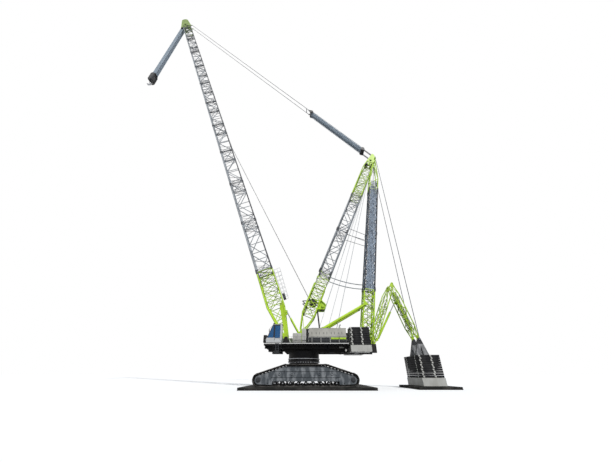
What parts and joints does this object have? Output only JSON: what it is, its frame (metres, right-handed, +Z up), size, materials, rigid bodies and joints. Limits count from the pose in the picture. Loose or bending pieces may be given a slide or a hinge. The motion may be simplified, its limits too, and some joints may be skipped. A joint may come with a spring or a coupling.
{
  "type": "crawler crane scale model",
  "caption": "Crawler crane with lattice boom, superlift mast, hanging derrick ballast and timber mats; 1:10 scale model.",
  "frame": {"origin": "on the slewing axis, at the underside of the mats the crane is parked on", "axes": "+X the way the boom leans, +Y to the cab side, +Z up along the slewing axis"},
  "size_m": [7.9094, 1.26, 14.0974],
  "materials": {
    "lime_paint": "satin",
    "lattice_grey": "satin",
    "strut_grey": "satin",
    "dark_steel": "satin",
    "black_steel": "satin",
    "track_steel": "rough",
    "wire_rope": "rough",
    "pendant_steel": "satin",
    "house_paint": "satin",
    "cab_paint": "satin",
    "seat_fabric": "matte",
    "timber": "rough"
  },
  "bodies": {
    "undercarriage": {"crawler_mat": "timber", "ballast_mat": "timber", "carbody": "black_steel", "slew_ring": "black_steel", "track_frame_left": "black_steel", "track_frame_right": "black_steel", "track_left": "track_steel", "track_right": "track_steel", "track_wheels_left": "black_steel", "track_wheels_right": "black_steel"},
    "upper": {"platform": "black_steel", "mast_bracket": "lime_paint", "ballast_bases": "lattice_grey", "upper_ballast": "dark_steel", "machine_house_left": "house_paint", "machine_house_right": "house_paint", "cab_shell": "cab_paint", "cab_seat": "seat_fabric", "mast_foot": "lime_paint", "mast_middle": "lattice_grey", "mast_head": "lime_paint", "strut_foot": "lime_paint", "strut_middle": "strut_grey", "strut_head": "lime_paint", "cross_ties": "dark_steel", "mast_cylinders": "lime_paint", "mast_winch": "dark_steel", "deck_winches": "dark_steel"},
    "cab_door": {"cab_door": "cab_paint"},
    "boom": {"boom_foot": "lime_paint", "boom_insert_1": "lattice_grey", "boom_insert_2": "lattice_grey", "boom_insert_3": "lattice_grey", "boom_insert_4": "lattice_grey", "boom_insert_5": "lattice_grey", "boom_head": "lime_paint", "hoist_lines": "wire_rope"},
    "boom_pendants": {"boom_pendants": "pendant_steel"},
    "tackle_rear": {"tackle_rear_block": "dark_steel", "luffing_ropes_rear": "wire_rope"},
    "tackle_front": {"tackle_front_block": "dark_steel", "luffing_ropes_front": "wire_rope"},
    "backstop_barrel": {"backstop_barrels": "lime_paint"},
    "backstop_rod": {"backstop_rods": "dark_steel"},
    "hook_hanger": {"head_sheaves": "dark_steel", "hoist_ropes": "wire_rope"},
    "hook_block": {"hook_block": "dark_steel"},
    "hook": {"hook": "dark_steel"},
    "ballast_pendants": {"ballast_pendants": "pendant_steel"},
    "ballast": {"derrick_ballast": "dark_steel", "ballast_tray": "lattice_grey", "ballast_yoke": "lattice_grey"},
    "guide_link": {"guide_link": "lime_paint"},
    "guide_drop": {"guide_drop": "lime_paint"},
    "guide_barrel": {"guide_barrel": "lime_paint"},
    "guide_rod": {"guide_rod": "dark_steel"}
  },
  "joints": [
    {"name": "slew", "type": "hinge", "parent": "undercarriage", "child": "upper", "pos_m": [0, 0, 0.415], "axis": [0, 0, 1], "continuous": true},
    {"name": "boom_luff", "type": "hinge", "parent": "upper", "child": "boom", "pos_m": [0.3, 0, 0.7], "axis": [0, -1, 0], "range_deg": [-23.6, 14.4]},
    {"name": "tackle_swing", "type": "hinge", "parent": "upper", "child": "tackle_rear", "pos_m": [-1.78225, 0, 5.18155], "axis": [0, -1, 0], "range_deg": [-23.5, 14.5]},
    {"name": "tackle_reeve", "type": "slide", "parent": "tackle_rear", "child": "tackle_front", "axis": [0.6347, 0, 0.7727], "range_m": [-1.16, 1.9]},
    {"name": "pendant_swing", "type": "hinge", "parent": "boom", "child": "boom_pendants", "pos_m": [5.09662, 0, 13.55618], "axis": [0, -1, 0], "range_deg": [-5.5, 3.5]},
    {"name": "backstop_swing", "type": "hinge", "parent": "upper", "child": "backstop_barrel", "pos_m": [0.09, 0, 0.8], "axis": [0, -1, 0], "range_deg": [-21.5, 13.2]},
    {"name": "backstop_slide", "type": "slide", "parent": "backstop_barrel", "child": "backstop_rod", "axis": [0.5196, 0, 0.8544], "range_m": [-0.058, 0.095]},
    {"name": "hook_hang", "type": "hinge", "parent": "boom", "child": "hook_hanger", "pos_m": [5.4386, 0, 13.25032], "axis": [0, -1, 0], "range_deg": [-14.5, 23.7]},
    {"name": "hoist", "type": "slide", "parent": "hook_hanger", "child": "hook_block", "axis": [0, 0, -1], "range_m": [-3.4, 8.6], "deforming": ["hoist_ropes"]},
    {"name": "hook_swivel", "type": "hinge", "parent": "hook_block", "child": "hook", "pos_m": [5.4386, 0, 9], "axis": [0, 0, 1], "continuous": true},
    {"name": "ballast_swing", "type": "hinge", "parent": "upper", "child": "ballast_pendants", "pos_m": [-1.8266, 0, 5.05454], "axis": [0, 1, 0], "range_deg": [-1.3, 5.3]},
    {"name": "ballast_level", "type": "hinge", "parent": "ballast_pendants", "child": "ballast", "pos_m": [-1.94, 0, 0.7], "axis": [0, 1, 0], "range_deg": [-5.4, 1.4]},
    {"name": "guide_swing", "type": "hinge", "parent": "upper", "child": "guide_link", "pos_m": [-1.12, 0, 0.56], "axis": [0, 1, 0], "range_deg": [-7.9, 2]},
    {"name": "guide_elbow", "type": "hinge", "parent": "guide_link", "child": "guide_drop", "pos_m": [-1.655, 0, 1.665], "axis": [0, 1, 0], "range_deg": [-6, 24]},
    {"name": "guide_cylinder_swing", "type": "hinge", "parent": "guide_link", "child": "guide_barrel", "pos_m": [-1.2703, 0, 0.69833], "axis": [0, 1, 0], "range_deg": [-6.9, 1.8]},
    {"name": "guide_cylinder_slide", "type": "slide", "parent": "guide_barrel", "child": "guide_rod", "axis": [-0.5426, 0, 0.84], "range_m": [-0.026, 0.104]},
    {"name": "cab_door", "type": "hinge", "parent": "upper", "child": "cab_door", "pos_m": [0.372, 0.4035, 0.755], "axis": [0, 0, 1], "range_deg": [0, 85]}
  ],
  "couplings": [
    {"joint": "tackle_swing", "follows": "boom_luff", "ratio": 0.95},
    {"joint": "tackle_reeve", "follows": "boom_luff", "m_per_rad": -4.5685},
    {"joint": "pendant_swing", "follows": "boom_luff", "ratio": 0.23192},
    {"joint": "backstop_swing", "follows": "boom_luff", "ratio": 0.89499},
    {"joint": "backstop_slide", "follows": "boom_luff", "m_per_rad": -0.22627},
    {"joint": "hook_hang", "follows": "boom_luff", "ratio": -1},
    {"joint": "ballast_level", "follows": "ballast_swing", "ratio": -1},
    {"joint": "guide_swing", "follows": "ballast_swing", "ratio": -1.4759},
    {"joint": "guide_elbow", "follows": "ballast_swing", "ratio": 4.4462},
    {"joint": "guide_cylinder_swing", "follows": "ballast_swing", "ratio": -1.2718},
    {"joint": "guide_cylinder_slide", "follows": "ballast_swing", "m_per_rad": 1.1085}
  ]
}
